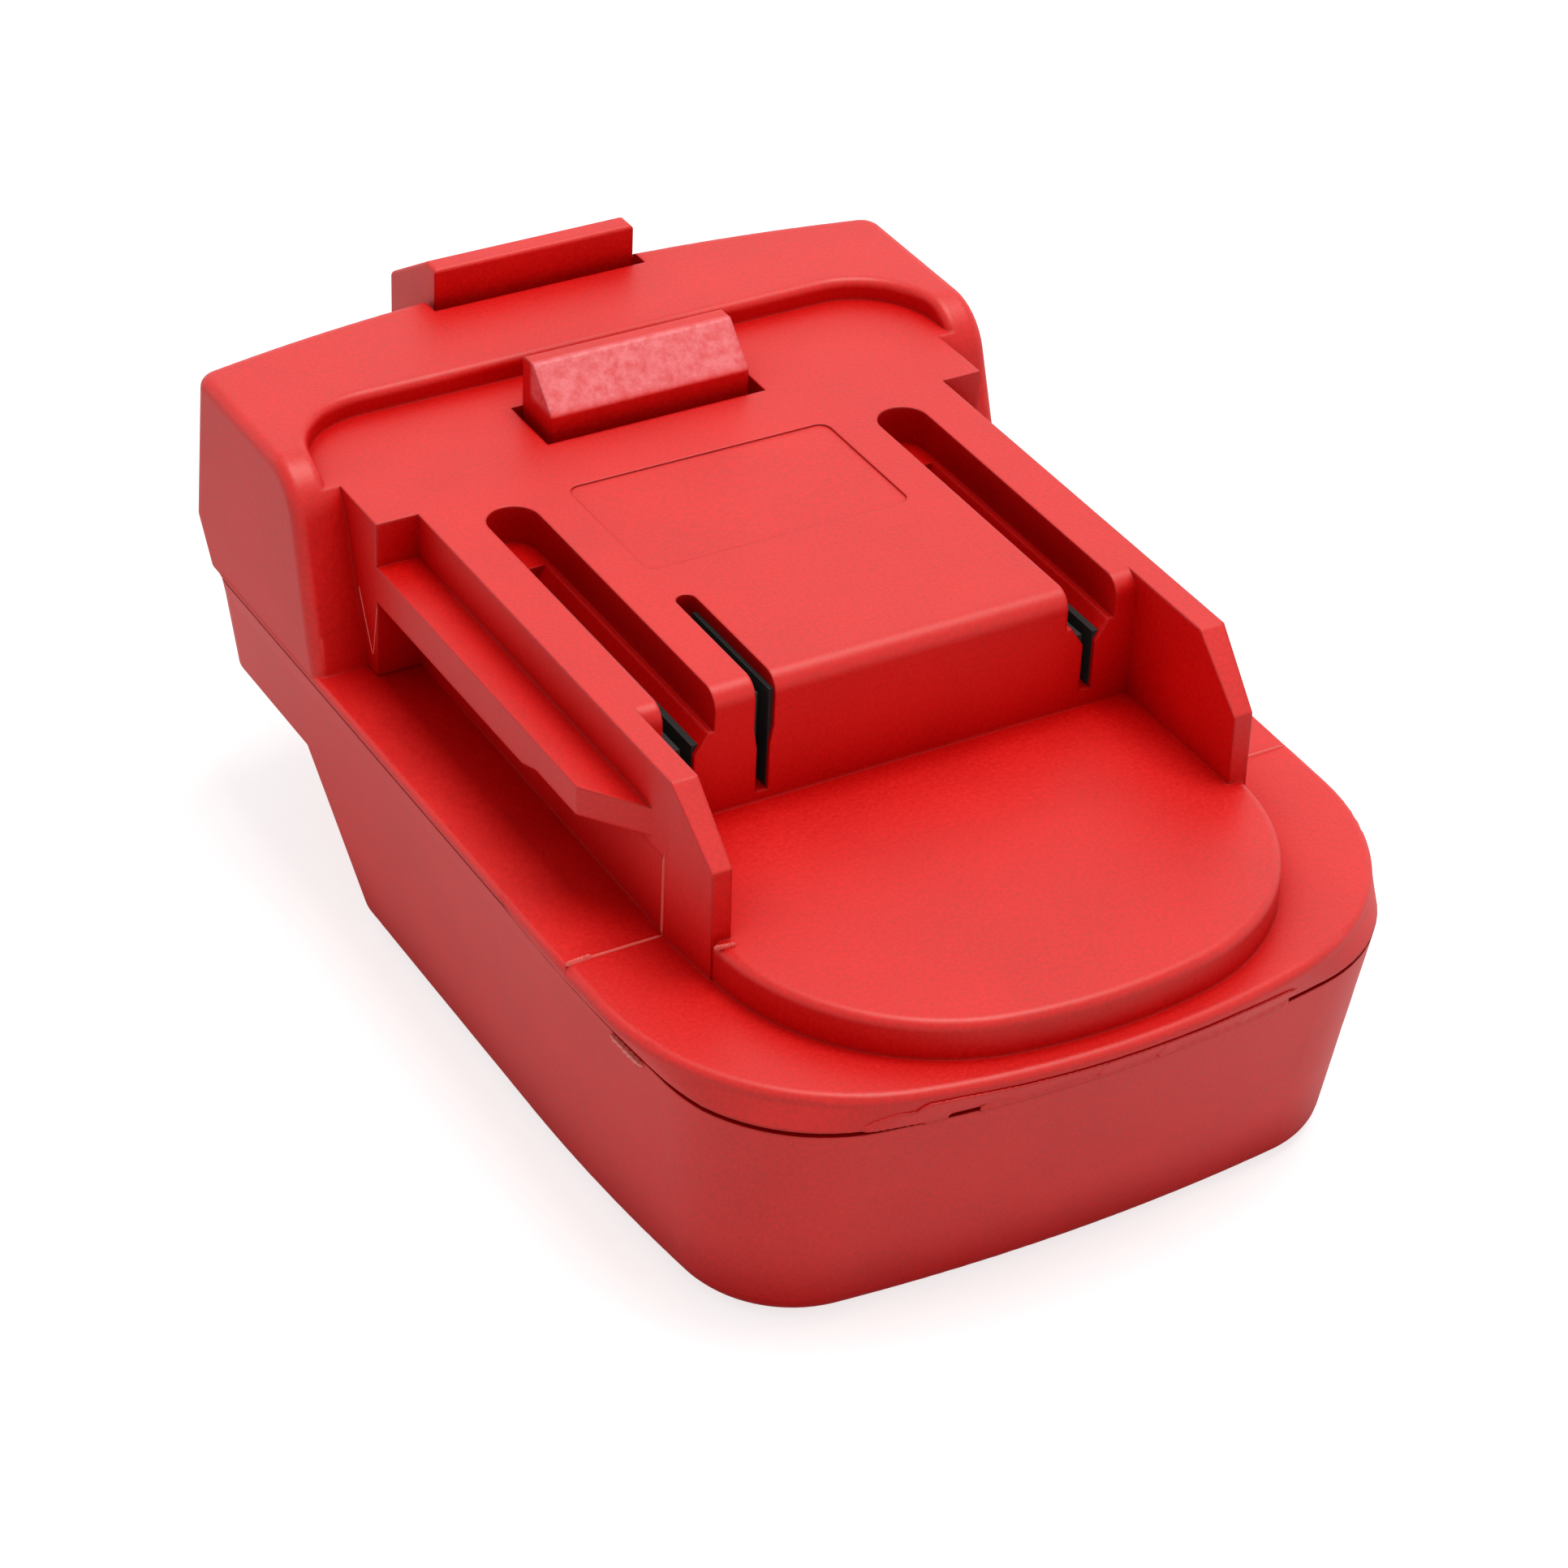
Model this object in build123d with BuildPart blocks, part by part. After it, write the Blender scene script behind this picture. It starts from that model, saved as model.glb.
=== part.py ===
from build123d import *
from math import cos, pi, radians, sin, sqrt, tan
import os

os.makedirs("parts", exist_ok=True)

# The adapter stands on the rims of its foot. X is across, Y runs from the nose (minus) to the
# release button (plus), Z is up. Lengths are millimetres.

# Overall lengths. The face is the top of the rear block's front face, where the tool stops.
body_width = 76.4
apron_length = 40.9
rail_length = 46.8
rear_length = 26.7
button_reach = 6.6
total_length = apron_length + rail_length + rear_length + button_reach
nose = -total_length / 2
tower_front = nose + apron_length
face = tower_front + rail_length
tail = face + rear_length
body_half = body_width / 2

# Overall heights, from the underside up
shelf_z = 15.5
floor_thickness = 2.5
compartment_height = 7.3
deck_wall = 1.6
rail_height = 16.6
slab_rise = 3.8
ledge_rise = 2.2
tab_rise = 5.85
floor_z = shelf_z + floor_thickness
under_z = floor_z + compartment_height
deck_z = under_z + deck_wall
slab_z = deck_z + slab_rise
plateau_z = deck_z + rail_height
ledge_z = plateau_z + ledge_rise

# Walls, clearances and the overrun of cuts
skin = 2.4
foot_wall = 2.8
running_gap = 0.35
seat_gap = 0.3
fit_gap = 0.1
thread_gap = 0.05
overrun = 6.0

# Seam between cover and foot, level at the rear and lower at the nose
rim_height = 3.3
rim_rear_height = 0.8
seam_bend_lead = 1.8
seam_bend_set_back = 12.7
seam_front_z = deck_z - rim_height
seam_rear_z = deck_z - rim_rear_height
seam_bend_rear = tower_front + seam_bend_lead
seam_bend_front = nose + seam_bend_set_back

# Body outline at the underside, at the seam and at the rim
low_inset = 3.6
low_set_back = 6.7
low_corner = 11.0
low_bow = 220.0
low_tail_inset = 5.5
seam_inset = 0.6
seam_set_back = 1.3
seam_corner = 16.0
seam_bow = 130.0
seam_tail_inset = 3.6
side_lead = 2.8
side_start = tower_front + side_lead
side_r = 210.0
rim_corner = 24.0
rim_bow = 84.0
rim_side_r = 900.0
rim_tail_inset = 3.4
tail_corner_r = 5.0
tail_bow = 170.0

# Rail head: tower, flanges, shoulders and wings
tower_inset = 9.8
tower_half = body_half - tower_inset
flange_width = 4.3
flange_half = tower_half + flange_width
flange_top_drop = 4.6
flange_bottom_drop = 8.4
flange_reach = 1.3
flange_front = tower_front - flange_reach
flange_taper = 5.8
flange_step = 0.9
flange_step_run = 2.6
flange_step_set_back = 8.9
shoulder_depth = 8.3
wing_thickness = 2.6
wing_inner_half = tower_half - wing_thickness
wing_reach = 10.2
wing_front = tower_front - wing_reach
wing_slope_run = 6.4
wing_slope_drop = 5.7
wing_foot_lead = 0.3
wing_taper = 0.7
wing_foot = wing_front - wing_slope_run - wing_foot_lead

# Rear block
block_inset = 0.1
block_half = body_half - block_inset
block_corner = 2.2
block_side_draft = 0.4
block_face_lean = 5.2
block_face_lead = 1.0
block_bulge_rise = 3.4
block_bulge_inset = 0.5
block_top_inset = 1.4
block_bulge_z = deck_z + block_bulge_rise
block_bulge_tail = tail - block_bulge_inset
block_top_tail = tail - block_top_inset

# Latch: wedge, button and how far they travel
latch_travel = 5.8
wedge_lead = 0.9
wedge_length = 5.9
wedge_front = face - wedge_lead
wedge_back = wedge_front + wedge_length
wedge_half = 10.75
button_lead = 3.25
button_front = tail - button_lead
button_back = tail + button_reach
button_half = 11.05
button_drop = 10.2
arm_thickness = 3.0
arm_top_z = plateau_z - skin - seat_gap

# Springs under the latch
spring_x = 8.0
spring_set_back = 12.0
spring_y = face + spring_set_back
spring_wire = 0.8
spring_mean_r = 2.6
spring_turns = 7
peg_r = spring_mean_r - spring_wire / 2 - seat_gap
peg_height = 3.0

# Contacts: places of the clips in the rail head and of the blades in the bay
clip_inset = 7.4
clip_x = tower_half - clip_inset
signal_clip_step = 7.7
signal_clip_x = signal_clip_step - clip_x
blade_x = 14.0
signal_blade_x = 0.0
lead_rise = 4.6
lead_z = floor_z + lead_rise
lead_r = 1.2
signal_lead_r = 0.8
solder_r = 1.5
solder_length = 3.0

# Battery bay under the floor
bay_side_wall = 7.0
bay_front_wall = 11.7
bay_half = body_half - bay_side_wall
bay_front = nose + bay_front_wall
bay_corner = 8.0
lip_reach = 4.0
lip_height = 3.0

# Housing screws, front pair and rear pair
screw_r = 1.5
screw_head_r = 2.6
screw_head_height = 1.6
screw_length = 9.0
screw_seat_z = shelf_z + screw_head_height + running_gap
boss_r = 3.2
foot_boss_r = 4.4
boss_rise = 4.0
boss_meet_z = floor_z + boss_rise
front_screw_outset = 3.5
front_screw_lead = 13.2
rear_screw_inset = 8.2
rear_screw_set_back = 13.0
front_screws = [(side * (clip_x + front_screw_outset), tower_front - front_screw_lead) for side in (-1, 1)]
rear_screws = [(side * (body_half - rear_screw_inset), face + rear_screw_set_back) for side in (-1, 1)]
screw_places = front_screws + rear_screws
cross_long_share = 1.1
cross_wide_share = 0.26


def flip(point):
    """The same point on the other side of the part."""
    return Vector(-point.X, point.Y)


def arc_between(p, q, center):
    """Draws the short arc from p to q about a centre."""
    p, q, center = Vector(p), Vector(q), Vector(center)
    middle = center + ((p - center) + (q - center)).normalized() * (p - center).length
    return ThreePointArc(p, middle, q)


def tail_corner(half, rear, corner, bow):
    """Centre of a tail corner arc, centre of the tail's bow and the point where they meet."""
    corner_c = Vector(half - corner, rear - bow + sqrt((bow - corner) ** 2 - (half - corner) ** 2))
    bow_c = Vector(0, rear - bow)
    return corner_c, bow_c, bow_c + (corner_c - bow_c).normalized() * bow


def body_plan(half, front, rear, sides_r, nose_r, bow, tail_r, rear_bow):
    """Plan of the body: sides that curve in towards the nose, round corners and bowed ends."""
    side_c = Vector(half - sides_r, side_start)
    bow_c = Vector(0, front + bow)
    between = bow_c - side_c
    along = ((sides_r - nose_r) ** 2 - (bow - nose_r) ** 2 + between.length**2) / (2 * between.length)
    rise = sqrt((sides_r - nose_r) ** 2 - along**2)
    unit = between.normalized()
    nose_c = side_c + unit * along + Vector(unit.Y, -unit.X) * rise
    side_end = side_c + (nose_c - side_c).normalized() * sides_r
    bow_end = bow_c + (nose_c - bow_c).normalized() * bow
    tail_c, rear_c, tail_end = tail_corner(half, rear, tail_r, rear_bow)
    with BuildSketch() as plan:
        with BuildLine():
            Line((half, tail_c.Y), (half, side_start))
            arc_between((half, side_start), side_end, side_c)
            arc_between(side_end, bow_end, nose_c)
            arc_between(bow_end, flip(bow_end), bow_c)
            arc_between(flip(bow_end), flip(side_end), flip(nose_c))
            arc_between(flip(side_end), (-half, side_start), flip(side_c))
            Line((-half, side_start), (-half, tail_c.Y))
            arc_between((-half, tail_c.Y), flip(tail_end), flip(tail_c))
            arc_between(flip(tail_end), tail_end, rear_c)
            arc_between(tail_end, (half, tail_c.Y), tail_c)
        make_face()
    return plan.sketch_local


def foot_plan(z, inset):
    """Plan of the foot at height z, between underside and seam or just past it, moved in by inset."""
    t = z / seam_front_z
    return body_plan(
        body_half - low_inset + (low_inset - seam_inset) * t - inset,
        nose + low_set_back + (seam_set_back - low_set_back) * t + inset,
        tail - low_tail_inset + (low_tail_inset - seam_tail_inset) * t - inset,
        side_r - inset,
        low_corner + (seam_corner - low_corner) * t - inset,
        low_bow + (seam_bow - low_bow) * t - inset,
        tail_corner_r - inset,
        tail_bow - inset,
    )


def rim_plan(inset):
    """Plan of the cover's rim at the deck, moved in by inset."""
    return body_plan(
        body_half - inset, nose + inset, tail - rim_tail_inset - inset, rim_side_r - inset,
        rim_corner - inset, rim_bow - inset, tail_corner_r - inset, tail_bow - inset,
    )


def seam_profile(drop, far_z):
    """Side profile between the seam, lowered by drop, and a level far from it."""
    with BuildSketch() as profile:
        with BuildLine():
            Polyline(
                (tail + overrun, seam_rear_z - drop), (seam_bend_rear, seam_rear_z - drop),
                (seam_bend_front, seam_front_z - drop), (nose - overrun, seam_front_z - drop),
                (nose - overrun, far_z), (tail + overrun, far_z), close=True,
            )
        make_face()
    return profile.sketch_local


def foot_block(inset, drop):
    """The body under the seam, moved in by inset, with its top lowered by drop."""
    with BuildPart() as block:
        for lower, upper in (
            ((0, foot_plan(0, inset)), (seam_front_z, foot_plan(seam_front_z, inset))),
            ((seam_front_z, foot_plan(seam_front_z, inset)), (deck_z, rim_plan(inset))),
        ):
            for z, plan in (lower, upper):
                with BuildSketch(Plane.XY.offset(z)):
                    add(plan)
            loft(ruled=True)
        with BuildSketch(Plane.YZ):
            add(seam_profile(drop, deck_z + overrun))
        extrude(amount=body_half + overrun, both=True, mode=Mode.SUBTRACT)
    return block.part


def block_front(z):
    """Where the leaning front face of the rear block is at height z."""
    return face - block_face_lead - block_face_lean * (plateau_z - z) / rail_height


def block_plan(z, rear, draft, inset):
    """Plan of the rear block at height z, with a bowed rear, narrowed by draft and moved in by inset."""
    half, front, bow = block_half - draft - inset, block_front(z) + inset, tail_bow - inset
    corner_c, bow_c, end = tail_corner(half, rear - inset, block_corner, bow)
    with BuildSketch() as plan:
        with BuildLine():
            Polyline((-half, corner_c.Y), (-half, front), (half, front), (half, corner_c.Y))
            arc_between((half, corner_c.Y), end, corner_c)
            arc_between(end, flip(end), bow_c)
            arc_between(flip(end), (-half, corner_c.Y), flip(corner_c))
        make_face()
    return plan.sketch_local


def slab_plan(half, front, back, corner, bow):
    """Plan of the nose slab: a D with its bow to the front."""
    corner_c = Vector(half - corner, front + bow - sqrt((bow - corner) ** 2 - (half - corner) ** 2))
    bow_c = Vector(0, front + bow)
    end = bow_c + (corner_c - bow_c).normalized() * bow
    with BuildSketch() as plan:
        with BuildLine():
            Polyline((-half, corner_c.Y), (-half, back), (half, back), (half, corner_c.Y))
            arc_between((half, corner_c.Y), end, corner_c)
            arc_between(end, flip(end), bow_c)
            arc_between(flip(end), (-half, corner_c.Y), flip(corner_c))
        make_face()
    return plan.sketch_local


def screw(places, seat_z, length, head_height, radius, head_r, up=1):
    """Pan head screws as separate solids, heads under the seat when up is 1, over it when up is -1."""
    with BuildPart() as screws:
        with BuildSketch(Plane.XY.offset(seat_z - up * head_height)):
            with Locations(*places):
                Circle(head_r)
        extrude(amount=up * head_height)
        with BuildSketch(Plane.XY.offset(seat_z)):
            with Locations(*places):
                Circle(radius)
        extrude(amount=up * length)
        rims = screws.edges().filter_by(GeomType.CIRCLE).filter_by(lambda e: e.radius > (head_r + radius) / 2)
        fillet(rims.group_by(Axis.Z)[0 if up > 0 else -1], head_height / 3)
        with BuildSketch(Plane.XY.offset(seat_z - up * head_height)):
            with Locations(*places):
                for turn in (0, 90):
                    Rectangle(head_r * cross_long_share, head_r * cross_wide_share, rotation=turn)
        extrude(amount=up * head_height / 2, mode=Mode.SUBTRACT)
    return screws.part


# Top cover
slab_inset = 0.8
slab_half = tower_half - slab_inset
slab_set_back = 2.5
slab_front = nose + slab_set_back
slab_corner = 21.9
slab_bow = 52.5
slab_back = tower_front + skin
slab_edge_round = 0.9
rim_edge_round = 0.8
rim_band = 1.0
front_edge_round = 1.8
horn_round = 6.0
block_edge_round = 1.2
recess_side_wall = 4.2
recess_half = block_half - recess_side_wall
recess_depth = 10.5
recess_corner = 8.5
recess_round = 0.9
seam_lip_depth = 1.8
seam_lip_wall = 1.4
lip_inset = foot_wall + fit_gap
lip_inner_inset = lip_inset + seam_lip_wall
mould_reach = 9.4
mould_y = tower_front - mould_reach
wall_relief = 0.3
deck_relief = 0.12

# Terminal slots
slot_width = 5.2
slot_depth = 3.9
slot_set_back = 10.7
slot_start = face - slot_set_back
funnel_width = 4.0
funnel_depth = 2.1
funnel_set_back = 5.1
funnel_start = slot_start - funnel_set_back
slit_width = 1.3
slit_drop = 11.1
well_wall = 1.4
well_drop = 7.4
signal_slot_width = 2.0
signal_slot_depth = 5.0
signal_slot_length = 15.5
signal_slot_start = tower_front + signal_slot_length
signal_slit_drop = 11.8

# Window, notch and label panel
window_side_gap = 1.1
window_lead_gap = 1.45
window_half = wedge_half + window_side_gap
window_front = wedge_front - window_lead_gap
window_back = wedge_back + seat_gap
notch_gap = 1.4
notch_side_gap = 0.65
notch_front = button_front - notch_gap
notch_half = button_half + notch_side_gap
label_side_gap = 4.4
label_half = clip_x - slot_width / 2 - label_side_gap
label_set_back = 10.2
label_length = 16.1
label_back = face - label_set_back
label_front = label_back - label_length
label_corner = 1.2
label_depth = 0.15


with BuildPart() as top_cover:
    # Rim and deck, with a round edge on top and sunk a little beside the rail head
    with BuildSketch(Plane.XY.offset(seam_front_z)):
        add(foot_plan(seam_front_z, 0))
    with BuildSketch(Plane.XY.offset(deck_z - rim_band)):
        add(rim_plan(0))
    loft(ruled=True)
    with BuildSketch(Plane.XY.offset(deck_z - rim_band)):
        add(rim_plan(0))
    extrude(amount=rim_band)
    fillet(top_cover.edges().group_by(Axis.Z)[-1], rim_edge_round)
    with BuildSketch(Plane.XY.offset(deck_z)):
        with Locations((0, (mould_y + tail + overrun) / 2)):
            Rectangle((body_half + overrun) * 2, tail + overrun - mould_y)
        with Locations((0, (mould_y + tail) / 2)):
            Rectangle((tower_half - wall_relief) * 2, tail - mould_y, mode=Mode.SUBTRACT)
    extrude(amount=-deck_relief, mode=Mode.SUBTRACT)
    with BuildSketch(Plane.XY.offset(seam_front_z)):
        add(foot_plan(seam_front_z - seam_lip_depth, lip_inner_inset))
    extrude(amount=under_z - seam_front_z, mode=Mode.SUBTRACT)
    with BuildSketch(Plane.YZ):
        add(seam_profile(0, -overrun))
    extrude(amount=body_half + overrun, both=True, mode=Mode.SUBTRACT)
    # Inner plate and the lip that locate the cover inside the foot
    with BuildSketch(Plane.XY.offset(under_z)):
        add(foot_plan(seam_front_z - seam_lip_depth, lip_inset))
    extrude(amount=seam_rear_z - under_z)
    with BuildSketch(Plane.XY.offset(seam_front_z - seam_lip_depth)):
        add(foot_plan(seam_front_z - seam_lip_depth, lip_inset))
        add(foot_plan(seam_front_z - seam_lip_depth, lip_inner_inset), mode=Mode.SUBTRACT)
    extrude(amount=seam_lip_depth + under_z - seam_front_z)
    with BuildSketch(Plane.YZ):
        add(seam_profile(seam_lip_depth, -overrun))
    extrude(amount=body_half + overrun, both=True, mode=Mode.SUBTRACT)
    # Nose slab with a rounded edge
    with BuildSketch(Plane.XY.offset(deck_z)):
        add(slab_plan(slab_half, slab_front, slab_back, slab_corner, slab_bow))
    extrude(amount=slab_rise)
    fillet(top_cover.edges().group_by(Axis.Z)[-1], slab_edge_round)
    # Rear block, widest at the bulge, with a leaning front face and round edges on top
    for z, rear, draft in (
        (seam_rear_z, tail - rim_tail_inset, 0), (block_bulge_z, block_bulge_tail, 0),
        (ledge_z, block_top_tail, block_side_draft),
    ):
        with BuildSketch(Plane.XY.offset(z)):
            add(block_plan(z, rear, draft, 0))
    loft(ruled=True)
    fillet(top_cover.edges().group_by(Axis.Z)[-1].sort_by(Axis.Y)[0], horn_round)
    fillet(top_cover.edges().group_by(Axis.Z)[-1].sort_by(Axis.Y)[1:], block_edge_round)
    # The plateau runs back into the ledge as a recess with a rounded crest
    with BuildSketch(Plane.XY.offset(plateau_z)):
        with Locations((0, face)):
            RectangleRounded(recess_half * 2, recess_depth * 2, recess_corner)
    extrude(amount=ledge_rise + overrun, mode=Mode.SUBTRACT)
    crest_edges = top_cover.edges(Select.LAST).group_by(Axis.Z)[-1]
    fillet(crest_edges.filter_by(lambda e: abs(e.center().X) < recess_half), recess_round)
    # Tower and shoulders
    with BuildSketch(Plane.XY.offset(deck_z)):
        with Locations((0, (tower_front + face) / 2)):
            Rectangle(tower_half * 2, face - tower_front)
        with Locations((0, face - shoulder_depth / 2)):
            Rectangle(flange_half * 2, shoulder_depth)
    extrude(amount=rail_height)
    top_edges = top_cover.edges(Select.LAST).filter_by(Axis.X).group_by(Axis.Z)[-1]
    fillet(top_edges.sort_by(Axis.Y)[0], front_edge_round)
    # Flanges, thinner at the front and dying into the wings
    with BuildSketch(Plane.XY.offset(plateau_z - flange_bottom_drop)):
        with BuildLine():
            Polyline(
                (0, face), (flange_half, face), (flange_half, flange_front),
                (tower_half, flange_front - flange_taper), (tower_half, tower_front + skin),
                (0, tower_front + skin), close=True,
            )
        make_face()
        mirror(about=Plane.YZ)
    extrude(amount=flange_bottom_drop - flange_top_drop)
    for side in (-1, 1):
        with BuildSketch(Plane.YZ.offset(side * tower_half)):
            with BuildLine():
                Polyline(
                    (tower_front + flange_step_set_back, plateau_z - flange_bottom_drop),
                    (tower_front + flange_step_set_back - flange_step_run,
                     plateau_z - flange_bottom_drop + flange_step),
                    (mould_y, plateau_z - flange_bottom_drop + flange_step),
                    (mould_y, plateau_z - flange_bottom_drop), close=True,
                )
            make_face()
        extrude(amount=side * (flange_width + overrun), mode=Mode.SUBTRACT)
    # Wings, tapered outside where they slope down
    with BuildSketch(Plane.YZ.offset(wing_inner_half)):
        with BuildLine():
            Polyline(
                (tower_front + skin, plateau_z), (wing_front, plateau_z),
                (wing_front - wing_slope_run, plateau_z - wing_slope_drop),
                (wing_foot, deck_z),
                (tower_front + skin, deck_z), close=True,
            )
        make_face()
    wing = extrude(amount=wing_thickness)
    mirror(wing, about=Plane.YZ)
    with BuildSketch(Plane.XY.offset(plateau_z)):
        with BuildLine():
            Polyline(
                (tower_half, wing_front), (tower_half - wing_taper, wing_foot - wing_foot_lead),
                (tower_half + wing_taper, wing_foot - wing_foot_lead),
                (tower_half + wing_taper, wing_front), close=True,
            )
        make_face()
        mirror(about=Plane.YZ)
    extrude(amount=deck_z - plateau_z, mode=Mode.SUBTRACT)
    # The walls under the flanges are sunk a little, from the mould line to the shoulders
    with BuildSketch(Plane.XY.offset(deck_z)):
        for side in (-1, 1):
            relief_x = side * (tower_half + overrun - wall_relief)
            with Locations((relief_x, (mould_y + face - shoulder_depth) / 2)):
                Rectangle(overrun * 2, face - shoulder_depth - mould_y)
    extrude(amount=rail_height - flange_bottom_drop, mode=Mode.SUBTRACT)
    # Hollows: rear block, tower and nose slab
    for z, rear, draft, wall in (
        (under_z, tail - rim_tail_inset, 0, lip_inner_inset + seam_lip_wall),
        (block_bulge_z, block_bulge_tail, 0, skin),
        (plateau_z - skin, block_top_tail, block_side_draft, skin),
    ):
        with BuildSketch(Plane.XY.offset(z)):
            add(block_plan(z, rear, draft, wall))
    loft(ruled=True, mode=Mode.SUBTRACT)
    with BuildSketch(Plane.XY.offset(under_z)):
        with Locations((0, (tower_front + skin + face + skin) / 2)):
            Rectangle((tower_half - skin) * 2, face - tower_front)
    extrude(amount=plateau_z - skin - under_z, mode=Mode.SUBTRACT)
    with BuildSketch(Plane.XY.offset(under_z)):
        add(slab_plan(slab_half - skin, slab_front + skin, slab_back, slab_corner - skin, slab_bow - skin))
    extrude(amount=slab_z - skin - under_z, mode=Mode.SUBTRACT)
    # Wells round the terminal slots
    with BuildSketch(Plane.XY.offset(plateau_z - well_drop)):
        for side in (-1, 1):
            with Locations((side * clip_x, (slot_start + well_wall + tower_front) / 2)):
                Rectangle(slot_width + 2 * well_wall, slot_start + well_wall - tower_front)
        with Locations((signal_clip_x, (signal_slot_start + well_wall + tower_front) / 2)):
            Rectangle(signal_slot_width + 2 * well_wall, signal_slot_start + well_wall - tower_front)
    extrude(amount=well_drop - skin)
    for x, start, width, depth in (
        (-clip_x, slot_start, slot_width, slot_depth),
        (clip_x, slot_start, slot_width, slot_depth),
        (signal_clip_x, signal_slot_start, signal_slot_width, signal_slot_depth),
    ):
        with BuildSketch(Plane.XY.offset(plateau_z - depth)):
            with Locations((x, (start - width / 2 + tower_front - overrun) / 2)):
                Rectangle(width, start - width / 2 - tower_front + overrun)
            with Locations((x, start - width / 2)):
                Circle(width / 2)
        extrude(amount=depth + overrun, mode=Mode.SUBTRACT)
    for x, start, mouth, top_drop, bottom_drop in (
        (-clip_x, funnel_start, funnel_width, slot_depth, slit_drop),
        (clip_x, funnel_start, funnel_width, slot_depth, slit_drop),
        (signal_clip_x, signal_slot_start, signal_slot_width, signal_slot_depth, signal_slit_drop),
    ):
        with BuildSketch(Plane.XZ.offset(-start)):
            with BuildLine():
                Polyline(
                    (x - mouth / 2, plateau_z - top_drop), (x + mouth / 2, plateau_z - top_drop),
                    (x + slit_width / 2, plateau_z - top_drop - funnel_depth),
                    (x + slit_width / 2, plateau_z - bottom_drop), (x - slit_width / 2, plateau_z - bottom_drop),
                    (x - slit_width / 2, plateau_z - top_drop - funnel_depth), close=True,
                )
            make_face()
        extrude(amount=start - tower_front + overrun, mode=Mode.SUBTRACT)
    # Window for the wedge, and the opening for the button with its notch in the ledge
    with BuildSketch(Plane.XY.offset(plateau_z - skin)):
        with Locations((0, (window_front + window_back) / 2)):
            Rectangle(window_half * 2, window_back - window_front)
    extrude(amount=skin + overrun, mode=Mode.SUBTRACT)
    with BuildSketch(Plane.XY.offset(ledge_z)):
        with Locations((0, (notch_front + tail + overrun) / 2)):
            Rectangle(notch_half * 2, tail + overrun - notch_front)
    extrude(amount=plateau_z - skin - ledge_z, mode=Mode.SUBTRACT)
    with BuildSketch(Plane.XY.offset(plateau_z - skin)):
        with Locations((0, (notch_front - skin + tail + overrun) / 2)):
            Rectangle(notch_half * 2, tail + overrun - notch_front + skin)
    extrude(amount=skin - button_drop - latch_travel - running_gap, mode=Mode.SUBTRACT)
    # Shallow label panel, left bare
    with BuildSketch(Plane.XY.offset(plateau_z)):
        with Locations((0, (label_front + label_back) / 2)):
            RectangleRounded(label_half * 2, label_back - label_front, label_corner)
    extrude(amount=-label_depth, mode=Mode.SUBTRACT)
    # Bosses for the housing screws
    for places, top in ((front_screws, slab_z - skin / 2), (rear_screws, plateau_z - skin / 2)):
        with BuildSketch(Plane.XY.offset(boss_meet_z)):
            with Locations(*places):
                Circle(boss_r)
        extrude(amount=top - boss_meet_z)
    with BuildSketch(Plane.XY.offset(boss_meet_z)):
        with Locations(*screw_places):
            Circle(screw_r + thread_gap)
    extrude(amount=screw_seat_z + screw_length + seat_gap - boss_meet_z, mode=Mode.SUBTRACT)

top_cover.part.label = "top_cover"
export_step(top_cover.part, "parts/top_cover.step")

# Foot housing
foot_edge_round = 2.5
slope_foot_lead = 11.0
slope_run = 10.5
slope_foot = face - slope_foot_lead
slope_top = slope_foot + slope_run
reveal_depth = 0.8
reveal_height = 0.5
catch_half = 12.0
catch_lead = 4.5
catch_length = 10.0
catch_back = face - catch_lead
catch_front = catch_back - catch_length
catch_depth = 7.0
catch_wall = 1.6
tail_slot_length = 4.6
blade_thickness = 0.8
tail_gap = 0.3
small_screw_r = 1.1
small_screw_head_r = 1.9
small_screw_head_height = 1.3

# Clips: bent sheet with two leaves that pinch the tool's blade
sheet = 0.6
clip_base_half = 1.7
clip_pinch_half = 0.45
clip_mouth_half = 1.5
clip_top_gap = 0.5
clip_pinch_drop = 2.6
clip_straight_rise = 5.0
clip_tab_half = 1.5
clip_tab_length = 4.0
clip_set_back = 3.8
signal_clip_length = 10.0
clip_top_z = plateau_z - well_drop - clip_top_gap
clip_pinch_z = clip_top_z - clip_pinch_drop
clip_straight_z = lead_z + clip_straight_rise
clip_front = tower_front + clip_set_back
clip_tab_front = clip_front - clip_tab_length
signal_clip_back = clip_front + signal_clip_length

# Holder of the clips, between the clips' tabs and the catch box, with its screws
holder_wall = 1.3
holder_half = clip_x + clip_base_half + sheet / 2 + fit_gap + holder_wall
holder_set_back = 3.0
holder_front = clip_front + holder_set_back
holder_catch_gap = 2.9
holder_back = catch_front - catch_wall - holder_catch_gap
holder_end_wall = 2.0
clip_back = holder_back - holder_end_wall
holder_height = 10.5
holder_base_height = 2.2
holder_base_length = 7.6
holder_screw_gap = 0.2
holder_screw_x = holder_half + small_screw_head_r + holder_screw_gap
holder_base_half = holder_screw_x + small_screw_head_r + holder_screw_gap
holder_screw_length = 4.3
holder_screws = [(side * holder_screw_x, (holder_front + holder_back) / 2) for side in (-1, 1)]

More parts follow.
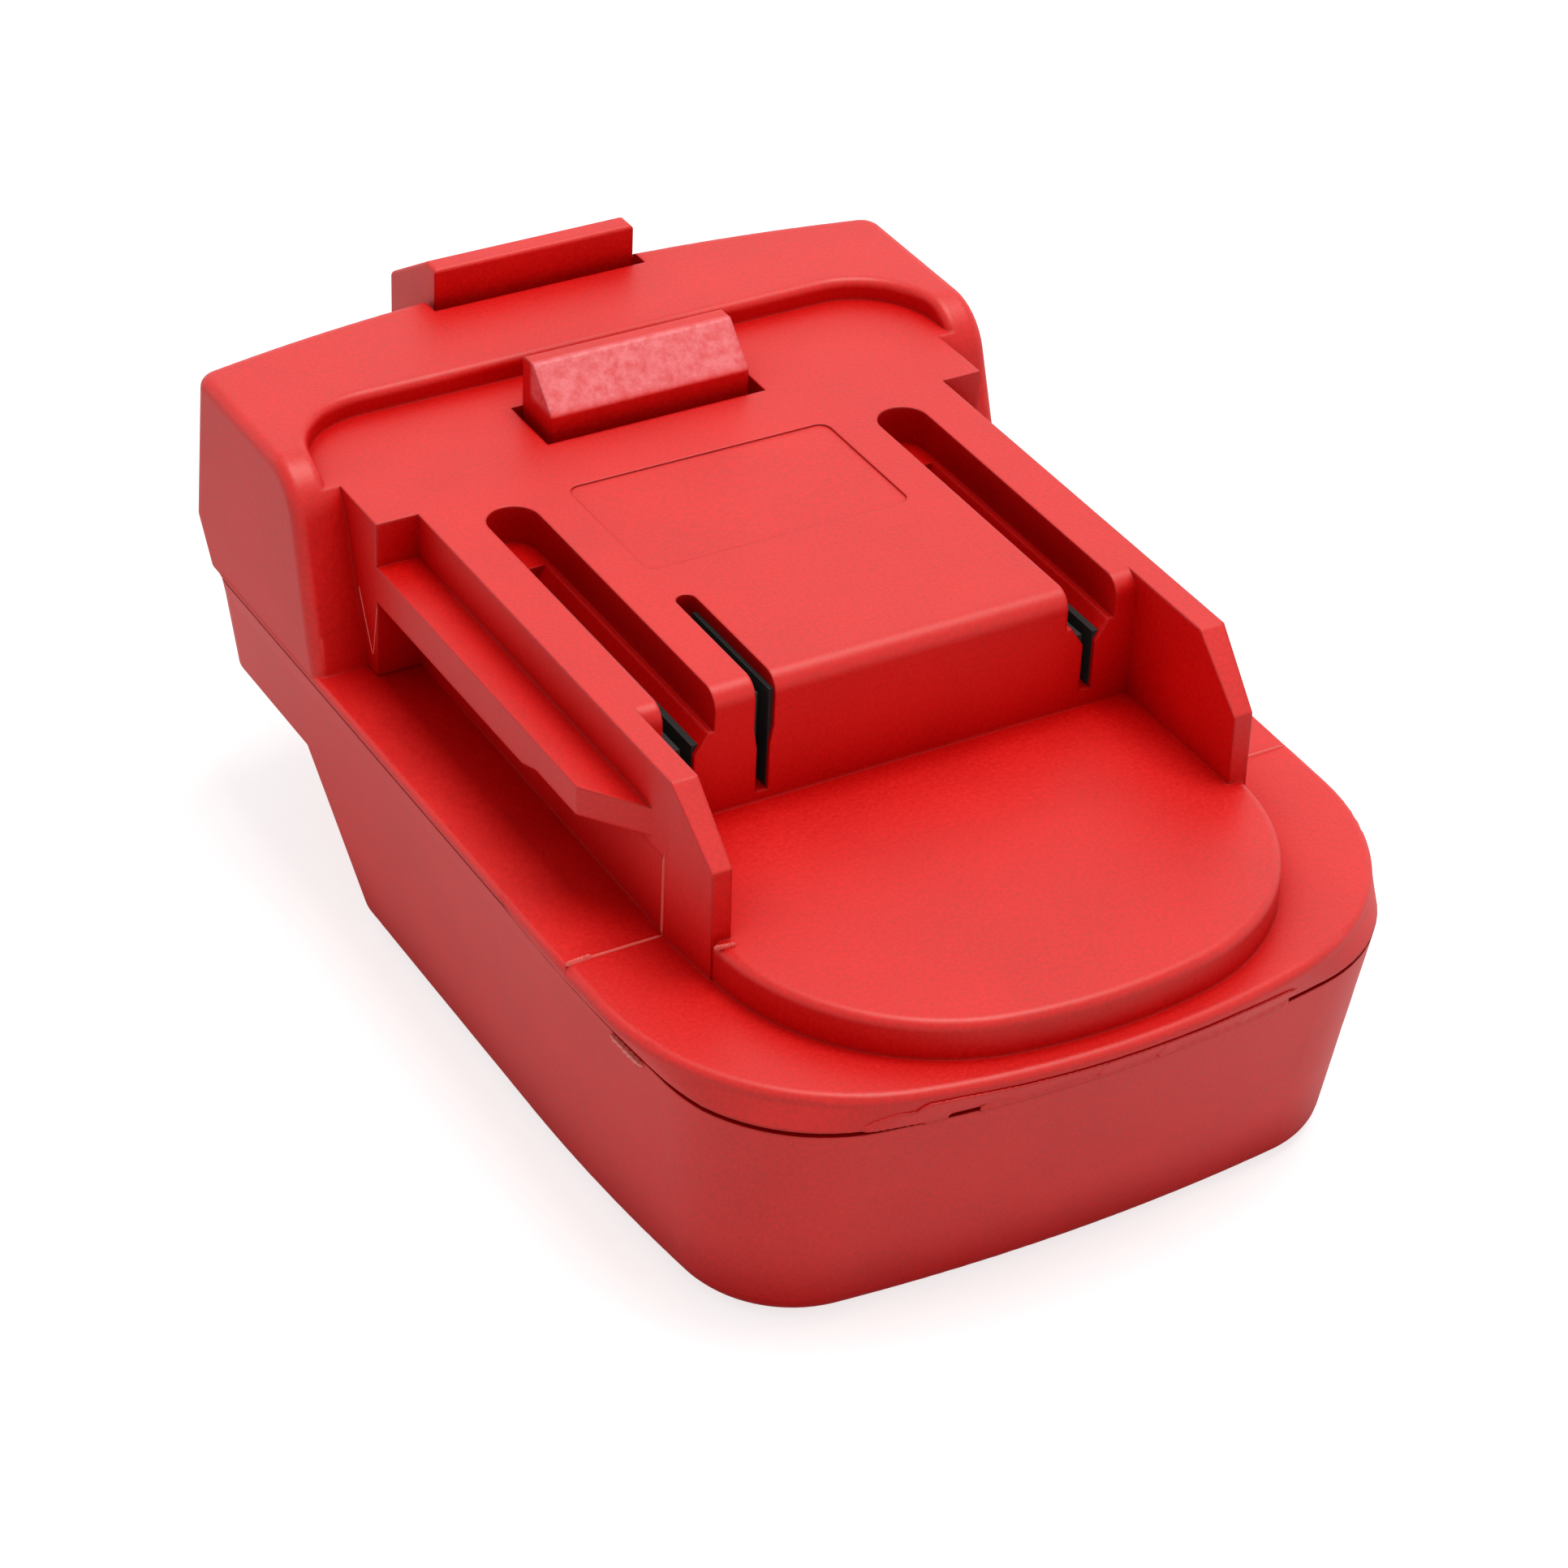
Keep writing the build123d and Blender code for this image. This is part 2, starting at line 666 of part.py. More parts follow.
# Block of the blades at the front of the bay, with its screws, and the blades' places in it
block_x_half = 22.0
block_length = 10.4
block_height = 10.0
block_y_front = bay_front + fit_gap
block_y_back = block_y_front + block_length
block_seat_drop = 5.0
block_screw_inset = 3.0
block_screw_length = 7.2
block_screw_x = block_x_half - block_screw_inset
block_screws = [(side * block_screw_x, (block_y_front + block_y_back) / 2) for side in (-1, 1)]
blade_drop = 5.3
blade_set_back = 1.7
blade_bottom_z = shelf_z - blade_drop
blade_tail_front = bay_front + blade_set_back
blade_tail_back = blade_tail_front + tail_slot_length - 2 * tail_gap
blade_places = (-blade_x, signal_blade_x, blade_x)
clip_places = ((-clip_x, clip_back), (clip_x, clip_back), (signal_clip_x, signal_clip_back))

with BuildPart() as foot_housing:
    # Tub under the seam, with a reveal all round its top
    add(foot_block(0, reveal_height))
    add(foot_block(reveal_depth, 0))
    # The rear is cut away to a shelf behind a slope
    with BuildSketch(Plane.YZ):
        with BuildLine():
            Polyline(
                (slope_foot - slope_run * overrun / shelf_z, -overrun), (slope_top, shelf_z),
                (tail + overrun, shelf_z), (tail + overrun, -overrun), close=True,
            )
        make_face()
    extrude(amount=body_half + overrun, both=True, mode=Mode.SUBTRACT)
    fillet(foot_housing.edges().group_by(Axis.Z)[0], foot_edge_round)
    # Compartment over the floor
    for z in (floor_z, deck_z):
        with BuildSketch(Plane.XY.offset(z)):
            add(foot_plan(z, foot_wall))
    loft(ruled=True, mode=Mode.SUBTRACT)
    # Battery bay, open to the rear, and its mouth between two rails
    with BuildSketch(Plane.XY.offset(lip_height)):
        with Locations((0, (bay_front + tail) / 2)):
            RectangleRounded(bay_half * 2, tail - bay_front, bay_corner)
    extrude(amount=shelf_z - lip_height, mode=Mode.SUBTRACT)
    with BuildSketch():
        with Locations((0, (bay_front + tail) / 2)):
            RectangleRounded((bay_half - lip_reach) * 2, tail - bay_front, bay_corner - lip_reach)
    extrude(amount=lip_height, mode=Mode.SUBTRACT)
    # Box over the catch pocket, screw bosses and spring pegs
    with BuildSketch(Plane.XY.offset(floor_z)):
        with Locations((0, (catch_front + catch_back) / 2)):
            Rectangle((catch_half + catch_wall) * 2, catch_back - catch_front + 2 * catch_wall)
    extrude(amount=shelf_z + catch_depth + catch_wall - floor_z)
    with BuildSketch(Plane.XY.offset(floor_z)):
        with Locations(*screw_places):
            Circle(foot_boss_r)
    extrude(amount=boss_meet_z - floor_z)
    with BuildSketch(Plane.XY.offset(floor_z)):
        with Locations((-spring_x, spring_y), (spring_x, spring_y)):
            Circle(peg_r)
    extrude(amount=peg_height)
    with BuildSketch(Plane.XY.offset(shelf_z)):
        with Locations((0, (catch_front + catch_back) / 2)):
            Rectangle(catch_half * 2, catch_back - catch_front)
    extrude(amount=catch_depth, mode=Mode.SUBTRACT)
    # Screw holes and the slots for the blades' tails
    with BuildSketch(Plane.XY.offset(screw_seat_z)):
        with Locations(*screw_places):
            Circle(screw_r + fit_gap)
    extrude(amount=boss_meet_z - screw_seat_z, mode=Mode.SUBTRACT)
    with BuildSketch(Plane.XY.offset(shelf_z)):
        with Locations(*screw_places):
            Circle(screw_head_r + seat_gap)
    extrude(amount=screw_seat_z - shelf_z, mode=Mode.SUBTRACT)
    with BuildSketch(Plane.XY.offset(shelf_z)):
        with Locations(*holder_screws, *block_screws):
            Circle(small_screw_r + thread_gap)
        for x in blade_places:
            with Locations((x, (blade_tail_front + blade_tail_back) / 2)):
                Rectangle(blade_thickness + 2 * tail_gap, tail_slot_length)
    extrude(amount=floor_z - shelf_z, mode=Mode.SUBTRACT)
foot_housing.part.label = "foot_housing"
export_step(foot_housing.part, "parts/foot_housing.step")

# Release latch: button with a sloping thumb rest, arm over the springs and wedge through the window
button_land = 2.1
button_back_rise = 1.0
wedge_ramp_rise = 1.85
wedge_top_rise = 5.65
wedge_ramp_run = 3.85
wedge_ramp_z = plateau_z + wedge_ramp_rise
wedge_top_z = plateau_z + wedge_top_rise
wedge_crest = wedge_front + wedge_ramp_run
edge_round = 0.4

with BuildPart() as release_latch:
    with BuildSketch(Plane.YZ):
        with BuildLine():
            Polyline(
                (button_front, plateau_z - button_drop), (button_front, plateau_z + tab_rise),
                (button_front + button_land, plateau_z + tab_rise),
                (button_back, plateau_z + button_back_rise), (button_back, plateau_z - button_drop),
                close=True,
            )
        make_face()
    extrude(amount=button_half, both=True)
    fillet(release_latch.edges().filter_by(lambda e: e.center().Z > plateau_z), edge_round)
    with BuildSketch(Plane.XY.offset(arm_top_z)):
        with Locations((0, (wedge_front + button_front + edge_round) / 2)):
            Rectangle(button_half * 2, button_front + edge_round - wedge_front)
    extrude(amount=-arm_thickness)
    with BuildSketch(Plane.YZ):
        with BuildLine():
            Polyline(
                (wedge_front, arm_top_z), (wedge_front, wedge_ramp_z), (wedge_crest, wedge_top_z),
                (wedge_back, wedge_top_z), (wedge_back, arm_top_z), close=True,
            )
        make_face()
    extrude(amount=wedge_half, both=True)
    ramp_edges = release_latch.edges().filter_by(Axis.X).filter_by(lambda e: e.center().Z > plateau_z)
    fillet(ramp_edges.filter_by(lambda e: e.center().Y < wedge_back + edge_round), edge_round)
    with BuildSketch(Plane.XY.offset(arm_top_z - arm_thickness)):
        with Locations((-spring_x, spring_y), (spring_x, spring_y)):
            Circle(peg_r)
    extrude(amount=-peg_height / 2)
release_latch.part.label = "release_latch"
export_step(release_latch.part, "parts/release_latch.step")

# Latch springs, each one unbroken tube of quarter turns, flat against floor and arm
spring_bottom_z = floor_z + seat_gap + spring_wire / 2
spring_top_z = arm_top_z - arm_thickness - seat_gap - spring_wire / 2
closed_turns_share = 0.75
closed_pitch_share = 1.1


def spring_point(turn):
    """Point on the spring's line and its direction after so many turns, with closed ends."""
    dead = closed_turns_share
    live = spring_turns - 2 * dead
    rest = min(max(turn - dead, 0), live) / live
    closed_rise = spring_wire * closed_pitch_share
    height = spring_top_z - spring_bottom_z - 2 * closed_rise * dead
    z = spring_bottom_z + closed_rise * (min(turn, dead) + max(turn - dead - live, 0)) + height * rest
    pitch = height / live if dead < turn < spring_turns - dead else closed_rise
    angle = 2 * pi * turn
    way = Vector(-sin(angle) * 2 * pi * spring_mean_r, cos(angle) * 2 * pi * spring_mean_r, pitch)
    return Vector(spring_mean_r * cos(angle), spring_mean_r * sin(angle), z), way.normalized()


def biarc(p0, p1, t0, t1):
    """Two tangent arcs from p0 to p1 that leave along t0 and arrive along t1."""
    v, t = p1 - p0, t0 + t1
    twist = 2 * (1 - t0.dot(t1))
    d = (-v.dot(t) + sqrt(v.dot(t) ** 2 + twist * v.dot(v))) / twist
    joint = (p0 + p1 + (t0 - t1) * d) / 2
    TangentArc(p0, joint, tangent=t0)
    TangentArc(joint, p1, tangent=p1 - t1 * d - joint)


def spring(x):
    """A coil spring that stands at x."""
    with BuildPart() as coil:
        with BuildLine() as line:
            steps = [spring_point(i / 4) for i in range(spring_turns * 4 + 1)]
            for (p0, t0), (p1, t1) in zip(steps, steps[1:]):
                biarc(p0 + Vector(x, spring_y), p1 + Vector(x, spring_y), t0, t1)
        start, way = steps[0]
        with BuildSketch(Plane(start + Vector(x, spring_y), z_dir=way)):
            Circle(spring_wire / 2)
        sweep(path=line.line)
    return coil.part


samples = [spring_point(i / 40)[0] for i in range(spring_turns * 40 + 1)]
gaps = [(samples[i] - samples[j]).length for i in range(len(samples)) for j in range(i + 30, len(samples))]
print("least gap of a spring to itself", round(min(gaps) - spring_wire, 3))
for name, x in (("latch_spring_left", -spring_x), ("latch_spring_right", spring_x)):
    with BuildPart() as latch_spring:
        add(spring(x))
    latch_spring.part.label = name
    export_step(latch_spring.part, f"parts/{name}.step")


def clip(x, back):
    """A fork clip over x from its front to back, with a tab for its lead."""
    with BuildPart() as fork:
        with BuildSketch(Plane.XZ.offset(-clip_front)):
            with BuildLine():
                Polyline(
                    (x - clip_mouth_half, clip_top_z), (x - clip_pinch_half - sheet / 2, clip_pinch_z),
                    (x - clip_base_half, clip_straight_z), (x - clip_base_half, lead_z - sheet / 2),
                    (x + clip_base_half, lead_z - sheet / 2), (x + clip_base_half, clip_straight_z),
                    (x + clip_pinch_half + sheet / 2, clip_pinch_z), (x + clip_mouth_half, clip_top_z),
                )
                offset(amount=sheet / 2, side=Side.BOTH)
            make_face()
        extrude(amount=clip_front - back)
        with BuildSketch(Plane.XY.offset(lead_z - sheet)):
            with Locations((x, (clip_tab_front + clip_front) / 2)):
                Rectangle(clip_tab_half * 2, clip_front - clip_tab_front)
        extrude(amount=sheet)
    return fork.part


for name, x, back in (
    ("positive_clip", clip_x, clip_back),
    ("negative_clip", -clip_x, clip_back),
    ("signal_clip", signal_clip_x, signal_clip_back),
):
    with BuildPart() as terminal_clip:
        add(clip(x, back))
    terminal_clip.part.label = name
    export_step(terminal_clip.part, f"parts/{name}.step")

# Clip holder: a block on the floor with a channel under each clip
with BuildPart() as clip_holder:
    with BuildSketch(Plane.XY.offset(floor_z)):
        with Locations((0, (holder_front + holder_back) / 2)):
            Rectangle(holder_half * 2, holder_back - holder_front)
    extrude(amount=holder_height)
    with BuildSketch(Plane.XY.offset(floor_z)):
        with Locations((0, (holder_front + holder_back) / 2)):
            Rectangle(holder_base_half * 2, holder_base_length)
    extrude(amount=holder_base_height)
    with BuildSketch(Plane.XY.offset(lead_z - sheet)):
        for x, back in clip_places:
            with Locations((x, (holder_front - overrun + back + fit_gap) / 2)):
                Rectangle((clip_base_half + sheet / 2 + fit_gap) * 2, back + fit_gap - holder_front + overrun)
    extrude(amount=holder_height, mode=Mode.SUBTRACT)
    with BuildSketch(Plane.XY.offset(floor_z)):
        with Locations(*holder_screws):
            Circle(small_screw_r + fit_gap)
    extrude(amount=holder_base_height, mode=Mode.SUBTRACT)
clip_holder.part.label = "clip_holder"
export_step(clip_holder.part, "parts/clip_holder.step")

# Blade block: a block under the floor with a channel for each blade
with BuildPart() as blade_block:
    with BuildSketch(Plane.XY.offset(shelf_z)):
        with Locations((0, (block_y_front + block_y_back) / 2)):
            Rectangle(block_x_half * 2, block_length)
    extrude(amount=-block_height)
    fillet(blade_block.edges().filter_by(Axis.X).group_by(Axis.Z)[0], small_screw_r)
    with BuildSketch(Plane.XY.offset(shelf_z - block_seat_drop)):
        with Locations(*block_screws):
            Circle(small_screw_head_r + seat_gap)
    extrude(amount=block_seat_drop - block_height, mode=Mode.SUBTRACT)
    with BuildSketch(Plane.XY.offset(shelf_z)):
        with Locations(*block_screws):
            Circle(small_screw_r + fit_gap)
    extrude(amount=-block_seat_drop, mode=Mode.SUBTRACT)
    with BuildSketch(Plane.XY.offset(blade_bottom_z)):
        for x in blade_places:
            with Locations((x, (blade_tail_front - tail_gap + block_y_back + overrun) / 2)):
                Rectangle(blade_thickness + 2 * fit_gap, block_y_back + overrun - blade_tail_front + tail_gap)
    extrude(amount=shelf_z, mode=Mode.SUBTRACT)
blade_block.part.label = "blade_block"
export_step(blade_block.part, "parts/blade_block.step")

# Blades: flat contacts in the bay, with a tail through the floor and a tab for the lead
blade_top_gap = 0.9
blade_length = 20.3
blade_tip_chamfer = 1.2
blade_tab_half = 1.6
blade_tab_length = 7.8
blade_top_z = shelf_z - blade_top_gap
blade_tip = blade_tail_front + blade_length
blade_tab_back = blade_tail_front + blade_tab_length


def blade(x):
    """A blade at x with its tail and tab."""
    with BuildPart() as contact:
        with BuildSketch(Plane.YZ.offset(x - blade_thickness / 2)):
            with BuildLine():
                Polyline(
                    (blade_tail_front, blade_bottom_z), (blade_tip, blade_bottom_z), (blade_tip, blade_top_z),
                    (blade_tail_back, blade_top_z), (blade_tail_back, lead_z - sheet),
                    (blade_tail_front, lead_z - sheet), close=True,
                )
            make_face()
        extrude(amount=blade_thickness)
        tip_edges = contact.edges().filter_by(Axis.X).group_by(Axis.Y)[-1]
        chamfer(tip_edges, blade_tip_chamfer)
        with BuildSketch(Plane.XY.offset(lead_z - sheet)):
            with Locations((x, (blade_tail_front + blade_tab_back) / 2)):
                Rectangle(blade_tab_half * 2, blade_tab_back - blade_tail_front)
        extrude(amount=sheet)
    return contact.part


for name, x in (("positive_blade", blade_x), ("negative_blade", -blade_x), ("signal_blade", signal_blade_x)):
    with BuildPart() as bay_blade:
        add(blade(x))
    bay_blade.part.label = name
    export_step(bay_blade.part, f"parts/{name}.step")

# Leads: level runs from the solder on the blades' tabs to the solder on the clips' tabs
solder_inset = 0.5
lead_bend_share = 0.45
lead_straight_share = 0.3
lead_start = blade_tab_back - solder_inset
lead_end = clip_tab_front + solder_inset
lead_straight = (lead_end - lead_start) * lead_straight_share

for name, x0, x1, r in (
    ("positive_wire", blade_x, clip_x, lead_r),
    ("negative_wire", -blade_x, -clip_x, lead_r),
    ("signal_wire", signal_blade_x, signal_clip_x, signal_lead_r),
):
    z = lead_z + solder_r - fit_gap
    turn = Vector(x1 - x0, lead_end - lead_start - 2 * lead_straight).get_angle(Vector(0, 1))
    bend = lead_bend_share * lead_straight / tan(radians(turn / 2))
    with BuildPart() as lead:
        with BuildLine() as route:
            FilletPolyline(
                (x0, lead_start, z), (x0, lead_start + lead_straight, z),
                (x1, lead_end - lead_straight, z), (x1, lead_end, z), radius=bend,
            )
        with BuildSketch(Plane((x0, lead_start, z), z_dir=(0, 1, 0))):
            Circle(r)
        sweep(path=route.line)
    print(name, "bend radius", round(bend, 2), "volume over section times length",
          round(lead.part.volume / (pi * r**2 * route.wire().length), 4))
    lead.part.label = name
    export_step(lead.part, f"parts/{name}.step")

# Solder where the leads meet the tabs
with BuildPart() as solder_joints:
    z = lead_z + solder_r - fit_gap
    for y, way, places in (
        (lead_start, 1, blade_places),
        (lead_end, -1, (-clip_x, signal_clip_x, clip_x)),
    ):
        with BuildSketch(Plane.XZ.offset(-y)):
            for x in places:
                with Locations((x, z)):
                    Circle(solder_r)
        extrude(amount=way * solder_length)
    fillet(solder_joints.edges().filter_by(GeomType.CIRCLE), solder_r / 3)
    with BuildSketch(Plane.XY.offset(lead_z)):
        Rectangle(total_length, 2 * total_length)
    extrude(amount=-overrun, mode=Mode.SUBTRACT)
solder_joints.part.label = "solder_joints"
export_step(solder_joints.part, "parts/solder_joints.step")

# Screws
for name, places, seat_z, length, head_height, r, head_r, up in (
    ("housing_screws", screw_places, screw_seat_z, screw_length, screw_head_height, screw_r, screw_head_r, 1),
    ("clip_holder_screws", holder_screws, floor_z + holder_base_height, holder_screw_length,
     small_screw_head_height, small_screw_r, small_screw_head_r, -1),
    ("blade_block_screws", block_screws, shelf_z - block_seat_drop, block_screw_length,
     small_screw_head_height, small_screw_r, small_screw_head_r, 1),
):
    with BuildPart() as screws:
        add(screw(places, seat_z, length, head_height, r, head_r, up))
    screws.part.label = name
    export_step(screws.part, f"parts/{name}.step")
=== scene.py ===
from math import radians

import bmesh
import bpy
import numpy as np
from mathutils import Matrix, Vector
from mathutils.geometry import convex_hull_2d


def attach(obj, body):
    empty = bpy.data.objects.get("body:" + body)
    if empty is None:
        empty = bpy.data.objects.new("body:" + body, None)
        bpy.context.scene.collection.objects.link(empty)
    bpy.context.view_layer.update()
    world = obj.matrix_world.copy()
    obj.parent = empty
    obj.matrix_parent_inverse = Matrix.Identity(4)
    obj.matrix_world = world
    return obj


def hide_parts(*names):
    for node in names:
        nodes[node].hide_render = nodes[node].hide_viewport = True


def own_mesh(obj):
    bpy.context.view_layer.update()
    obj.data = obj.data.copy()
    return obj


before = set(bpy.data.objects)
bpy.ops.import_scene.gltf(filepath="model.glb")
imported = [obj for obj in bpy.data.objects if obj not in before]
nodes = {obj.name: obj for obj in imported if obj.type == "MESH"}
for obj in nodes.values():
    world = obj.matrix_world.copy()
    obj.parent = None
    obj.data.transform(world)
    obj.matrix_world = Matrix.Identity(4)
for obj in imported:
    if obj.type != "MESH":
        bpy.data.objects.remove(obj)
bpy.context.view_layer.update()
print("frame loaded:", len(nodes), "nodes")

scene = bpy.context.scene
scene.view_settings.view_transform = "Standard"

# camera, at the photograph's angle
cameraLook = {
    "aim": Vector((-0.00181, -0.00459, 0.01954)),  # point on the view axis, metres
    "distance": 0.43128,  # metres
    "azimuth": radians(-31.3625),
    "elevation": radians(34.631),
    "roll": radians(2.7533),
    "lens": 105.2,  # millimetres
    "filmSide": 36,  # millimetres, for a square picture
    "nearest": 0.01,  # metres
}


def makeCamera(look):
    # turned about Z, tipped down, rolled about its own axis, then moved back from its aim
    data = bpy.data.cameras.new("camera")
    data.lens = look["lens"]
    data.sensor_width = look["filmSide"]
    data.clip_start = look["nearest"]
    aside = Matrix.Rotation(look["azimuth"], 4, "Z")
    down = Matrix.Rotation(radians(90) - look["elevation"], 4, "X")
    roll = Matrix.Rotation(look["roll"], 4, "Z")
    back = Matrix.Translation((0, 0, look["distance"]))
    camera = bpy.data.objects.new("camera", data)
    camera.matrix_world = Matrix.Translation(look["aim"]) @ (aside @ down @ roll) @ back
    scene.collection.objects.link(camera)
    scene.camera = camera


makeCamera(cameraLook)
print("camera placed")

# shared steps for materials


def newMaterial(name):
    material = bpy.data.materials.new(name)
    material.use_nodes = True
    return material, material.node_tree.nodes, material.node_tree.links


def addNode(tree, kind, **settings):
    # a setting is a property of the node or, where it has none of that name, the value of a socket
    node = tree.new(kind)
    for key, value in settings.items():
        if hasattr(node, key):
            setattr(node, key, value)
        else:
            node.inputs[key.replace("_", " ")].default_value = value
    return node


def millimetres(tree, links):
    # Object coordinates scaled so that 1 unit is 1 mm
    place = addNode(tree, "ShaderNodeTexCoord")
    scale = addNode(tree, "ShaderNodeMapping", Scale=(1000, 1000, 1000))
    links.new(place.outputs["Object"], scale.inputs["Vector"])
    return scale.outputs["Vector"]


def noise(tree, links, where, **settings):
    node = addNode(tree, "ShaderNodeTexNoise", **settings)
    links.new(where, node.inputs["Vector"])
    return node.outputs["Fac"]


def rangeOf(tree, links, value, low, high, start=0.0, end=1.0):
    # value between low and high mapped to start and end, held at both ends
    node = addNode(tree, "ShaderNodeMapRange")
    for socket, number in zip(("From Min", "From Max", "To Min", "To Max"), (low, high, start, end)):
        node.inputs[socket].default_value = number
    links.new(value, node.inputs["Value"])
    return node.outputs["Result"]


def product(tree, links, values):
    # the values multiplied together
    total = values[0]
    for value in values[1:]:
        node = addNode(tree, "ShaderNodeMath", operation="MULTIPLY")
        links.new(total, node.inputs[0])
        links.new(value, node.inputs[1])
        total = node.outputs[0]
    return total


def mixColours(tree, links, share, first, second, blend="MIX"):
    # first where the share is 0 and second, or both blended, where it is 1
    node = addNode(tree, "ShaderNodeMix", data_type="RGBA", blend_type=blend)
    for place, value in zip((0, 6, 7), (share, first, second)):  # where this node keeps its colour sockets
        if isinstance(value, bpy.types.NodeSocket):
            links.new(value, node.inputs[place])
        else:
            node.inputs[place].default_value = value
    return node.outputs[2]


def roughBumps(tree, links, shader, grain, look):
    # the grain moves roughness up and down and raises the surface, and the bump node is returned
    middle, spread = look["roughness"], look["roughSpread"]
    rough = rangeOf(tree, links, grain, 0, 1, middle - spread, middle + spread)
    links.new(rough, shader.inputs["Roughness"])
    bump = addNode(tree, "ShaderNodeBump", Strength=look["grainStrength"], Distance=look["grainDepth"])
    links.new(grain, bump.inputs["Height"])
    links.new(bump.outputs["Normal"], shader.inputs["Normal"])
    return bump


# red moulded plastic: lengths in metres, noise sizes per millimetre
redShell = {
    "colour": (0.76, 0.0022, 0.0018, 1),
    "paler": (0.86, 0.006, 0.005, 1),
    "darker": (0.64, 0.0012, 0.001, 1),
    "tintSpan": (0.32, 0.68),  # noise levels of the darker and the paler red
    "grainSize": 2.6,  # bumps per millimetre
    "grainDetail": 3.0,
    "grainHarshness": 0.65,
    "grainDepth": 0.00005,
    "grainStrength": 0.4,
    "cloudSize": 0.09,
    "cloudDetail": 2.0,
    "cloudShare": 0.3,  # how much of the tint comes from the clouds
    "roughness": 0.44,
    "roughSpread": 0.08,
    "shine": (0.04, 0.64),  # specular level in a corner and in the open, lowered in corners as painted shade
    "shineSpan": (0.45, 0.95),  # how open a place is at these two
    "shineTint": (1, 0.96, 0.88, 1),
    "cornerShade": (0.6, 0.5, 0.5, 1),  # painted shade: colour is multiplied by this in the deepest corners
    "cornerShadeSpan": (0.25, 0.95),  # how open a place is where this painted shade is full and where it is gone
    "cornerReach": 0.009,
    "cornerSamples": 8,
    "edgeRadius": 0.00042,
    "edgeSamples": 6,
}

# on the latch the painted corner shade is lighter, and the ramp of the wedge gets a paler painted
# sheen: where it starts, ends and how high its foot is, in millimetres
latchShell = {**redShell, "cornerShade": (0.85, 0.8, 0.8, 1)}
rampSheen = {
    "front": 26.1,
    "back": 30.5,
    "foot": 45.5,
    "soft": 0.35,  # half the width of its blurred border
    "colour": (0.95, 0.2, 0.22, 1),
    "share": (0.35, 1),  # how much of the painted sheen shows between streaks and on them
    "streakSize": 0.9,
    "streakDetail": 5.0,
    "streakHarshness": 0.7,
    "streakSpan": (0.35, 0.62),
}


def mouldedTint(tree, links, where, grain, look):
    # darker, middle and paler red, picked by the grain and a share of faint clouds
    cloud = noise(tree, links, where, Scale=look["cloudSize"], Detail=look["cloudDetail"])
    both = addNode(tree, "ShaderNodeMix", data_type="FLOAT")
    both.inputs["Factor"].default_value = look["cloudShare"]
    links.new(grain, both.inputs["A"])
    links.new(cloud, both.inputs["B"])
    tint = addNode(tree, "ShaderNodeValToRGB")
    reds = tint.color_ramp.elements
    reds[0].position, reds[1].position = look["tintSpan"]
    reds[0].color = look["darker"]
    reds[1].color = look["paler"]
    reds.new(0.5).color = look["colour"]
    links.new(both.outputs["Result"], tint.inputs["Fac"])
    return tint.outputs["Color"]


def sheenShare(tree, links, where, look):
    # 1 on the ramp and 0 elsewhere, broken up by streaks: where the painted sheen shows
    place = addNode(tree, "ShaderNodeSeparateXYZ")
    links.new(where, place.inputs["Vector"])
    streaks = noise(tree, links, where, Scale=look["streakSize"], Detail=look["streakDetail"],
                    Roughness=look["streakHarshness"])
    soft = look["soft"]
    return product(tree, links, [
        rangeOf(tree, links, place.outputs["Y"], look["front"] - soft, look["front"] + soft),
        rangeOf(tree, links, place.outputs["Y"], look["back"] + soft, look["back"] - soft),
        rangeOf(tree, links, place.outputs["Z"], look["foot"] - soft, look["foot"] + soft),
        rangeOf(tree, links, streaks, *look["streakSpan"], *look["share"]),
    ])


def redPlastic(name, look, sheen=None):
    # fine spark-eroded grain, faint clouds of flow, edges a little rounded,
    # and painted shade: duller and deeper in colour where a corner keeps the light out
    material, tree, links = newMaterial(name)
    shader = tree["Principled BSDF"]
    where = millimetres(tree, links)
    grain = noise(tree, links, where, Scale=look["grainSize"], Detail=look["grainDetail"],
                  Roughness=look["grainHarshness"])
    colour = mouldedTint(tree, links, where, grain, look)
    # a paler painted sheen on the wedge's ramp
    if sheen:
        colour = mixColours(tree, links, sheenShare(tree, links, where, sheen), colour, sheen["colour"])
    # painted shade: where little is open around, the colour is darkened and the shine lowered
    corner = addNode(tree, "ShaderNodeAmbientOcclusion", samples=look["cornerSamples"],
                     Distance=look["cornerReach"])
    openness = corner.outputs["AO"]
    shade = mixColours(tree, links, rangeOf(tree, links, openness, *look["cornerShadeSpan"]),
                       look["cornerShade"], (1, 1, 1, 1))
    links.new(mixColours(tree, links, 1, colour, shade, "MULTIPLY"), shader.inputs["Base Color"])
    shine = rangeOf(tree, links, openness, *look["shineSpan"], *look["shine"])
    links.new(shine, shader.inputs["Specular IOR Level"])
    shader.inputs["Specular Tint"].default_value = look["shineTint"]
    bump = roughBumps(tree, links, shader, grain, look)
    edge = addNode(tree, "ShaderNodeBevel", samples=look["edgeSamples"], Radius=look["edgeRadius"])
    links.new(edge.outputs["Normal"], bump.inputs["Normal"])
    return material


